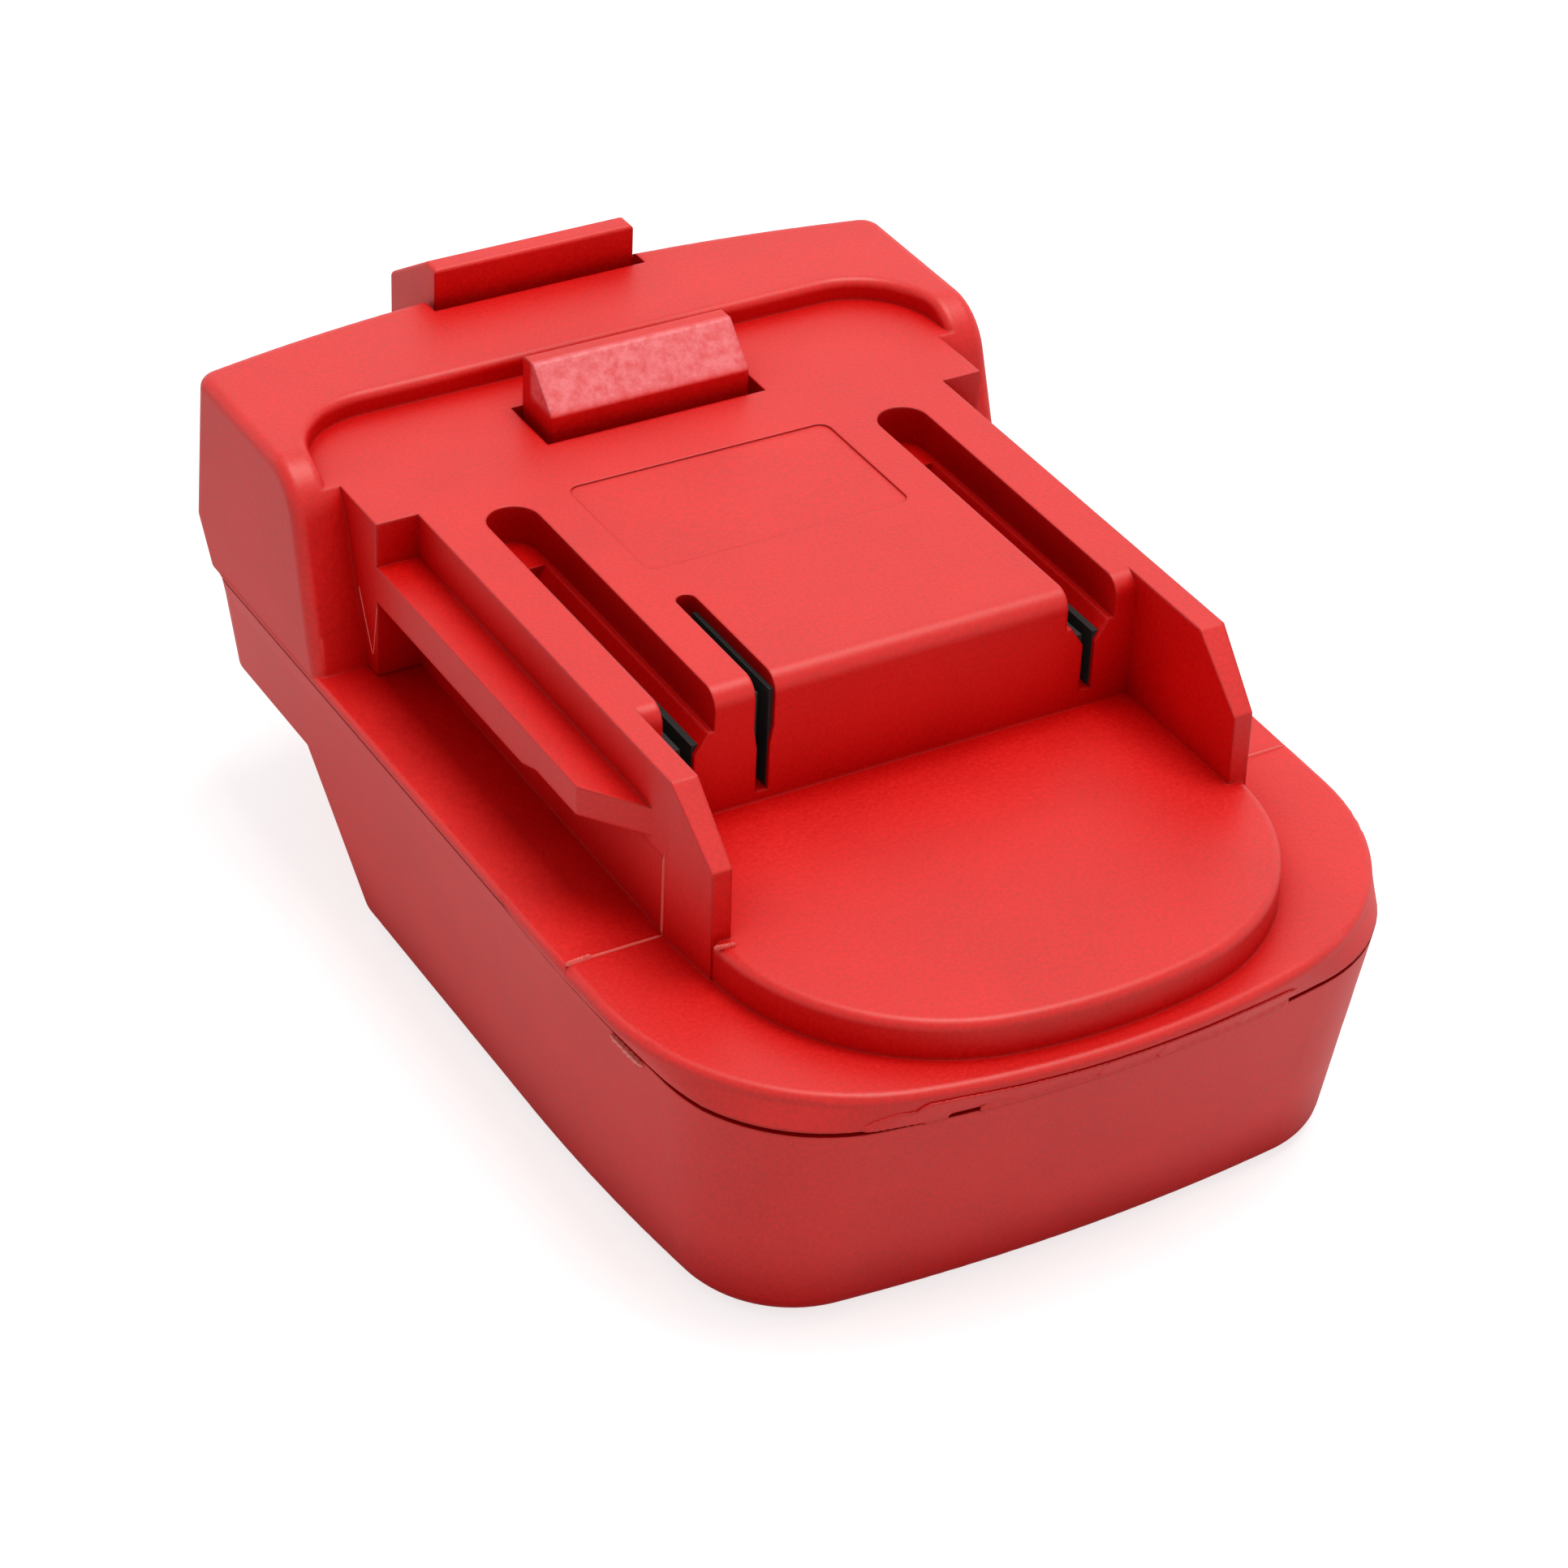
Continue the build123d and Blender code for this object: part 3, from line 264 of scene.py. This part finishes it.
# the other finishes: colour, metallic, roughness and grain in bumps per millimetre
simpleLooks = {
    # the next two paler reds are painted highlights, on the mould ridges and on the seam's nick
    "ridge_highlight_plastic": ((0.95, 0.14, 0.115), 0.0, 0.42, 3.0),
    "nick_highlight_plastic": ((1.0, 0.3, 0.25), 0.0, 0.5, 3.0),
    # the slots' near-black sheets: partly the carrier's collars, partly painted shade
    "collar_shade_black": ((0.004, 0.004, 0.004), 0.0, 0.75, 3.0),
    "black_plastic": ((0.02, 0.02, 0.022), 0.0, 0.5, 3.0),
    "contact_metal": ((0.86, 0.84, 0.78), 1.0, 0.28, 1.2),
    "spring_steel": ((0.62, 0.62, 0.64), 1.0, 0.3, 4.0),
    "screw_steel": ((0.5, 0.5, 0.52), 1.0, 0.35, 3.0),
    "red_lead": ((0.6, 0.02, 0.02), 0.0, 0.38, 2.0),
    "black_lead": ((0.015, 0.015, 0.016), 0.0, 0.38, 2.0),
    "yellow_lead": ((0.8, 0.5, 0.03), 0.0, 0.38, 2.0),
    "solder": ((0.72, 0.73, 0.75), 1.0, 0.2, 0.8),
}
simpleGrain = {
    "darkShare": 0.8,  # the darkest tint as a share of the colour
    "grainDetail": 4.0,
    "grainDepth": 0.00003,
    "grainStrength": 0.3,
    "roughSpread": 0.08,
}


def plainMaterial(name, colour, metallic, roughness, grainSize):
    # one colour broken by a noise that also moves roughness and bump
    material, tree, links = newMaterial(name)
    shader = tree["Principled BSDF"]
    shader.inputs["Metallic"].default_value = metallic
    grain = noise(tree, links, millimetres(tree, links), Scale=grainSize, Detail=simpleGrain["grainDetail"])
    tint = addNode(tree, "ShaderNodeValToRGB")
    tint.color_ramp.elements[0].color = [channel * simpleGrain["darkShare"] for channel in colour] + [1]
    tint.color_ramp.elements[1].color = [*colour, 1]
    links.new(grain, tint.inputs["Fac"])
    links.new(tint.outputs["Color"], shader.inputs["Base Color"])
    roughBumps(tree, links, shader, grain, {**simpleGrain, "roughness": roughness})
    return material


finishes = {name: plainMaterial(name, *look) for name, look in simpleLooks.items()}
finishes["red_plastic"] = redPlastic("red_plastic", redShell)
finishes["sheen_plastic"] = redPlastic("sheen_plastic", latchShell, rampSheen)

nodeFinish = {
    "top_cover": "red_plastic", "foot_housing": "red_plastic", "release_latch": "sheen_plastic",
    "clip_holder": "black_plastic", "blade_block": "black_plastic",
    "latch_spring_left": "spring_steel", "latch_spring_right": "spring_steel",
    "positive_clip": "contact_metal", "negative_clip": "contact_metal", "signal_clip": "contact_metal",
    "positive_blade": "contact_metal", "negative_blade": "contact_metal", "signal_blade": "contact_metal",
    "positive_wire": "red_lead", "negative_wire": "black_lead", "signal_wire": "yellow_lead",
    "solder_joints": "solder", "housing_screws": "screw_steel", "clip_holder_screws": "screw_steel",
    "blade_block_screws": "screw_steel",
}
for nodeName, node in nodes.items():
    node.data.materials.clear()
    node.data.materials.append(finishes[nodeFinish[nodeName]])
print("materials given to", len(nodeFinish), "nodes")

# shared steps for the scene's own pieces, which are all measured in millimetres
mm = 0.001
upward = np.array([0.0, 0.0, 1.0])
smoothBelow = radians(32)  # sharper edges than this stay crisp
sameLevel = 0.02  # corners this near a height count as on it


def sweepBar(name, path, out, up, profile, finish, body):
    # corner k of ring j stands at path[j] + out[j] * profile[j, k, 0] + up[j] * profile[j, k, 1],
    # rings are joined by quads, and each end is closed by one face
    rings, corners = profile.shape[:2]
    points = path[:, None] + out[:, None] * profile[:, :, :1] + up[:, None] * profile[:, :, 1:]
    j, k = np.meshgrid(np.arange(rings - 1), np.arange(corners), indexing="ij")
    this, after = j * corners, (k + 1) % corners
    quads = np.stack([this + k, this + after, this + corners + after, this + corners + k], -1)
    caps = [list(range(corners)), list(range((rings - 1) * corners, rings * corners))]
    mesh = bpy.data.meshes.new(name)
    mesh.from_pydata((points.reshape(-1, 3) * mm).tolist(), [], quads.reshape(-1, 4).tolist() + caps)
    work = bmesh.new()
    work.from_mesh(mesh)
    bmesh.ops.recalc_face_normals(work, faces=work.faces)
    work.to_mesh(mesh)
    work.free()
    mesh.shade_smooth()
    mesh.set_sharp_from_angle(angle=smoothBelow)
    mesh.materials.append(finishes[finish])
    piece = bpy.data.objects.new(name, mesh)
    scene.collection.objects.link(piece)
    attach(piece, body)


def profileOf(corners):
    # one cross-section for each ring, from each corner's way out and way up along the path
    return np.stack([np.stack(pair, -1) for pair in corners], 1)


def wave(place, ripples):
    # sines added up, each with its height, its quickness and its start
    return sum(height * np.sin(place * quickness + start) for height, quickness, start in ripples)


def taper(place, start, end, run, least):
    # 1 in the middle, falling evenly to the least share over the run before each end
    return np.clip(np.minimum(place - start, end - place) / run, least, 1)


def outlineAt(nodeName, height, behind):
    # the convex outline, in order round it, of a node's corners at one height and in front of a line
    corners = np.empty(len(nodes[nodeName].data.vertices) * 3)
    nodes[nodeName].data.vertices.foreach_get("co", corners)
    corners = corners.reshape(-1, 3) / mm
    level = corners[(np.abs(corners[:, 2] - height) < sameLevel) & (corners[:, 1] < behind)]
    return level[convex_hull_2d([tuple(point) for point in level[:, :2]])]


def frontPath(nodeName, height, behind, rings):
    # evenly spaced points along the front of a node's outline at one height, from left to right,
    # with outward normals that turn smoothly from corner to corner
    front = outlineAt(nodeName, height, behind)
    front = front[np.argsort(np.arctan2(front[:, 1] - behind, front[:, 0]))]
    run = np.r_[0, np.cumsum(np.linalg.norm(np.diff(front, axis=0), axis=1))]
    even = np.linspace(0, run[-1], rings)
    turn = np.gradient(front, run, axis=0)
    path = np.stack([np.interp(even, run, line) for line in front.T], -1)
    along = np.stack([np.interp(even, run, line) for line in turn.T], -1)
    out = np.stack([along[:, 1], -along[:, 0], 0 * even], -1)
    return path, out / np.linalg.norm(out, axis=1, keepdims=True)


def cutPath(path, out, start, end):
    # the stretch of a path between two places across
    kept = (path[:, 0] >= start) & (path[:, 0] <= end)
    return path[kept], out[kept]


# the cover's rim at the nose, which the flash follows
noseRim = {
    "seamLevel": 23.6,  # height of the rim's lower edge
    "bandLevel": 25.9,  # where the rim's wall ends its lean
    "behind": -40.0,
    "rings": 420,
}
coverSeam, coverBand = (
    frontPath("top_cover", noseRim[level], noseRim["behind"], noseRim["rings"])
    for level in ("seamLevel", "bandLevel")
)


def wallLean(path, out, rim):
    # how far the rim's wall moves out for each millimetre up, measured along the normal
    there = np.interp(path[:, 0], coverBand[0][:, 0], coverBand[0][:, 1])
    return (path[:, 1] - there) * -out[:, 1] / (rim["bandLevel"] - rim["seamLevel"])


# flash on the rim's wall, a thin plate
plate = {
    "span": (-24.6, 19.2),
    "proud": 0.2,
    # places across, and there the plate's lower and upper edge above the rim's lower edge
    "places": (-24.6, -23.4, -21.4, -19.8, -19.2, -18.6, -16.9, -16.3, -14.4, -11.2, -10.9, -10.5, -8.0,
               -5.9, -5.6, -2.6, -2.2, 0.0, 3.5, 3.8, 5.4, 5.7, 9.0, 12.2, 12.5, 17.6, 19.2),
    "lower": (0.0, -0.12, -0.16, -0.2, -0.24, -0.24, -0.26, 0.3, 0.42, 0.4, 0.1, -0.1, -0.08,
              0.1, 0.16, 0.12, -0.32, -0.22, 0.06, -0.42, -0.36, -0.02, 0.06, 0.02, -0.2, 0.12, 0.4),
    "upper": (0.3, 0.9, 1.45, 1.4, 1.9, 2.1, 2.15, 2.2, 2.2, 2.15, 2.1, 2.1, 2.1,
              2.05, 2.05, 2.0, 2.0, 2.0, 1.95, 1.95, 1.9, 1.9, 1.8, 1.75, 1.7, 1.4, 0.9),
    "tear": ((0.03, 9.0, 0.0), (0.02, 23.0, 1.0)),  # ripples of both edges
    "endRun": 0.8,
    "endShare": 0.05,
    # for the lower and the upper edge: depth in the wall, how proud it still is, and height of its round
    "sunk": (0.1, 0.15),
    "edgeShare": (0.7, 0.6),
    "edgeRound": (0.08, 0.1),
}


def rimFlash(look, rim):
    # from its torn lower to its torn upper edge it stands proud of the leaning wall by an even
    # height, rounded off at both edges and tapered at both ends
    path, out = cutPath(*coverSeam, *look["span"])
    across = path[:, 0]
    tear = wave(across, look["tear"])
    lower = np.interp(across, look["places"], look["lower"]) + tear
    upper = np.interp(across, look["places"], look["upper"]) + tear
    proud = look["proud"] * taper(across, *look["span"], look["endRun"], look["endShare"])
    low, high = (np.maximum(edge, 0) * wallLean(path, out, rim) for edge in (lower, upper))
    (lowSunk, highSunk), (lowShare, highShare), (lowRound, highRound) = (
        look[key] for key in ("sunk", "edgeShare", "edgeRound")
    )
    profile = profileOf([
        (low - lowSunk, lower), (low + proud * lowShare, lower), (low + proud, lower + lowRound),
        (high + proud, upper - highRound), (high + proud * highShare, upper), (high - highSunk, upper),
    ])
    sweepBar("rim_flash", path, out, np.tile(upward, (len(path), 1)), profile, "red_plastic", "housing")


rimFlash(plate, noseRim)

# squeezed-out plastic that fills the seam below the plate
seamSkirt = {
    "foot": -0.62,  # below the rim's lower edge, on the foot's wall
    "head": 0.55,
    "proud": 0.05,
    "bulge": 0.02,  # more than that at the rim's lower edge
    "sunk": 0.3,
    "ripples": ((0.02, 5.0, 0.0),),
    "endRun": 1.2,
    "endShare": 0.02,
    "runs": {"seam_flash_left": (-19.0, -16.6), "seam_flash_front": (-13.9, 18.4)},
}


def seamFlash(look, rim):
    # upright over the seam, then along the rim's leaning wall, tapered at both ends
    for name, (start, end) in look["runs"].items():
        path, out = cutPath(*coverSeam, start, end)
        across = path[:, 0]
        ends = taper(across, start, end, look["endRun"], look["endShare"])
        face = look["proud"] * ends + wave(across, look["ripples"])
        foot = look["foot"] + 0 * across
        head = look["head"] * ends
        profile = profileOf([
            (face - look["sunk"], foot), (face, foot), (face + look["bulge"], 0 * across),
            (face + head * wallLean(path, out, rim), head), (face - look["sunk"], head),
        ])
        sweepBar(name, path, out, np.tile(upward, (len(path), 1)), profile, "red_plastic", "housing")


seamFlash(seamSkirt, noseRim)

# mould lines and torn bits, all low ridges along a straight run
ridge = {
    "rings": 40,
    "endRun": 1 / 12,  # as a share of the ridge's length
    "endShare": 0.1,
    "ripples": ((1.0, 41.0, 0.0), (0.7, 97.0, 2.0)),
    # cross-section: rise and place across, as shares of height and width
    "hump": ((-0.06, -0.5), (0.35, -0.45), (0.9, -0.2), (1, 0.1), (0.45, 0.42), (-0.06, 0.5)),
}
# the ridges' paler finishes are painted highlights
mouldLine = {"width": 0.3, "height": 0.16, "ragged": 0.02, "finish": "ridge_highlight_plastic"}
faintLine = {"width": 0.16, "height": 0.07, "ragged": 0.02, "finish": "ridge_highlight_plastic"}
deckBurr = {"width": 0.55, "height": 0.36, "ragged": 0.12, "finish": "ridge_highlight_plastic"}
paleNick = {"width": 0.55, "height": 0.42, "ragged": 0.25, "finish": "nick_highlight_plastic"}
wingBit = {"width": 0.5, "height": 0.3, "ragged": 0.15, "finish": "ridge_highlight_plastic"}
# start, end, way out of the surface, and kind
ridges = {
    "deck_line_left": ((-37.7, -29.05, 26.9), (-28.2, -29.05, 26.9), (0, 0, 1), mouldLine),
    "deck_line_right": ((37.7, -29.05, 26.9), (28.2, -29.05, 26.9), (0, 0, 1), mouldLine),
    "deck_burr": ((-37.9, -29.1, 26.86), (-35.2, -29.0, 26.9), (0, 0, 1), deckBurr),
    "wall_line_left": ((-28.4, -29.05, 26.9), (-28.4, -29.05, 35.6), (-1, 0, 0), mouldLine),
    "wall_line_right": ((28.4, -29.05, 26.9), (28.4, -29.05, 35.6), (1, 0, 0), mouldLine),
    "seam_nick": ((-36.85, -35.7, 23.7), (-36.35, -40.5, 23.3), (-1, 0, 0.5), paleNick),
    "wing_foot_bit": ((-27.9, -37.2, 30.75), (-25.9, -37.5, 30.75), (0, -0.5, 1), wingBit),
    "shoulder_line_rear": ((-32.68, 22.9, 34.9), (-32.68, 19.85, 28.5), (-1, 0, 0), faintLine),
    "shoulder_line_front": ((-32.68, 19.85, 28.5), (-32.68, 18.8, 34.8), (-1, 0, 0), faintLine),
}


def mouldRidge(name, start, end, out, kind):
    # a flat hump carried along the run, made lower and narrower at both ends and by the ripples
    along = np.linspace(0, 1, ridge["rings"])
    start, end = np.array(start), np.array(end)
    path = start + (end - start) * along[:, None]
    out = np.array(out) / np.linalg.norm(out)
    side = np.cross(out, (end - start) / np.linalg.norm(end - start))
    ends = taper(along, 0, 1, ridge["endRun"], ridge["endShare"])
    size = ends * (1 + kind["ragged"] * wave(along, ridge["ripples"]))
    profile = np.array(ridge["hump"]) * (kind["height"], kind["width"]) * size[:, None, None]
    outs, sides = (np.tile(way, (len(path), 1)) for way in (out, side))
    sweepBar(name, path, outs, sides, profile, kind["finish"], "housing")


for name, measures in ridges.items():
    mouldRidge(name, *measures)
print("moulding marks made")

# near-black sheets inside the terminal slots, partly the clip carrier's collars and partly painted shade
# of the deep slots: place across, front, back, and the outer face's half width at each height, from the top
# down
collarsAndShade = {
    "negative_collar_shade": (-21.0, -19.2, 9.6, ((1.22, 38.4), (0.72, 37.5), (0.72, 32.5))),
    "positive_collar_shade": (21.0, -19.2, 9.6, ((1.22, 38.4), (0.72, 37.5), (0.72, 32.5))),
    "signal_collar_shade": (-13.3, -19.2, -5.2, ((1.04, 42.1), (1.04, 38.5), (0.7, 36.4), (0.7, 31.8))),
}
collarInside = 0.58  # the inner face's half width


def slotCollarAndShade(name, across, front, back, outer):
    # two upright walls, one each side of the slit, each the strip between its outer and inner face
    outer = np.array(outer)
    inner = np.stack([np.full(len(outer), collarInside), outer[:, 1]], -1)
    strip = np.vstack([outer, inner[::-1]])
    path = np.array([(across, front, 0.0), (across, back, 0.0)])
    sideways, ups = np.tile((1.0, 0.0, 0.0), (2, 1)), np.tile(upward, (2, 1))
    for side, sign in (("left", -1), ("right", 1)):
        profile = np.tile(strip * (sign, 1), (2, 1, 1))
        sweepBar(name + "_" + side, path, sideways, ups, profile, "collar_shade_black", "housing")


for name, measures in collarsAndShade.items():
    slotCollarAndShade(name, *measures)
print("slot collars made")

# copies of the latch springs, lengths in metres
latchSprings = {
    "nodes": ("latch_spring_left", "latch_spring_right"),
    "joint": "latch_slide",
    "travel": 0.0058,
    "weld": 0.000001,  # corners nearer than this become one
}


def springThatShortens(nodeName, look):
    # a merged, smooth-shaded copy of the spring's own mesh, put in place of the spring, which is hidden
    mesh = nodes[nodeName].data.copy()
    work = bmesh.new()
    work.from_mesh(mesh)
    bmesh.ops.remove_doubles(work, verts=work.verts, dist=look["weld"])
    work.to_mesh(mesh)
    work.free()
    mesh.shade_smooth()
    piece = bpy.data.objects.new("coil_" + nodeName.split("_")[-1], mesh)
    scene.collection.objects.link(piece)
    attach(piece, "housing")
    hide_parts(nodeName)
    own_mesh(piece)


for nodeName in latchSprings["nodes"]:
    springThatShortens(nodeName, latchSprings)

# floor, backdrop and light, with lengths in metres
studio = {
    "floorHalf": 3.0,
    "floorGap": 0.00005,
    "floorColour": (0.5, 0.5, 0.5, 1),
    "floorRoughness": 0.9,
    "floorShine": 0.1,
    "floorGlow": {"camera": 0.74, "gloss": 0.2, "other": 0.25},  # what it gives off to each kind of ray
    "worldLevel": {"camera": 1.0, "gloss": 1.25, "other": 0.42},
    "keyPower": 8.2,
    "keySize": 0.6,
    "keyFrom": Vector((0.2, -0.02, 1.15)),
}


def rayLevel(tree, links, levels):
    # a strength for camera rays, one for glossy and transmission rays and one for all others
    seen = addNode(tree, "ShaderNodeLightPath")
    gloss = addNode(tree, "ShaderNodeMath", operation="MAXIMUM")
    links.new(seen.outputs["Is Glossy Ray"], gloss.inputs[0])
    links.new(seen.outputs["Is Transmission Ray"], gloss.inputs[1])
    level = addNode(tree, "ShaderNodeMix", data_type="FLOAT")
    links.new(seen.outputs["Is Camera Ray"], level.inputs["Factor"])
    unseen = rangeOf(tree, links, gloss.outputs[0], 0, 1, levels["other"], levels["gloss"])
    links.new(unseen, level.inputs["A"])
    level.inputs["B"].default_value = levels["camera"]
    return level.outputs["Result"]


def makeFloor(look):
    # one square, just below the foot's rims
    mesh = bpy.data.meshes.new("floor")
    half, low = look["floorHalf"], -look["floorGap"]
    corners = [(-half, -half, low), (half, -half, low), (half, half, low), (-half, half, low)]
    mesh.from_pydata(corners, [], [(0, 1, 2, 3)])
    floor = bpy.data.objects.new("floor", mesh)
    scene.collection.objects.link(floor)
    material, tree, links = newMaterial("floor")
    shader = tree["Principled BSDF"]
    shader.inputs["Base Color"].default_value = look["floorColour"]
    shader.inputs["Roughness"].default_value = look["floorRoughness"]
    shader.inputs["Specular IOR Level"].default_value = look["floorShine"]
    shader.inputs["Emission Color"].default_value = (1, 1, 1, 1)
    links.new(rayLevel(tree, links, look["floorGlow"]), shader.inputs["Emission Strength"])
    mesh.materials.append(material)


def makeWorld(look):
    world = bpy.data.worlds.new("world")
    scene.world = world
    world.use_nodes = True
    tree, links = world.node_tree.nodes, world.node_tree.links
    back = tree["Background"]
    back.inputs["Color"].default_value = (1, 1, 1, 1)
    links.new(rayLevel(tree, links, look["worldLevel"]), back.inputs["Strength"])


def makeKeyLight(look):
    # a square lamp that faces the part
    data = bpy.data.lights.new("key", "AREA")
    data.energy = look["keyPower"]
    data.size = look["keySize"]
    lamp = bpy.data.objects.new("key", data)
    lamp.location = look["keyFrom"]
    lamp.rotation_euler = (-look["keyFrom"]).to_track_quat("-Z", "Y").to_euler()
    scene.collection.objects.link(lamp)


makeFloor(studio)
makeWorld(studio)
makeKeyLight(studio)
print("studio lit")
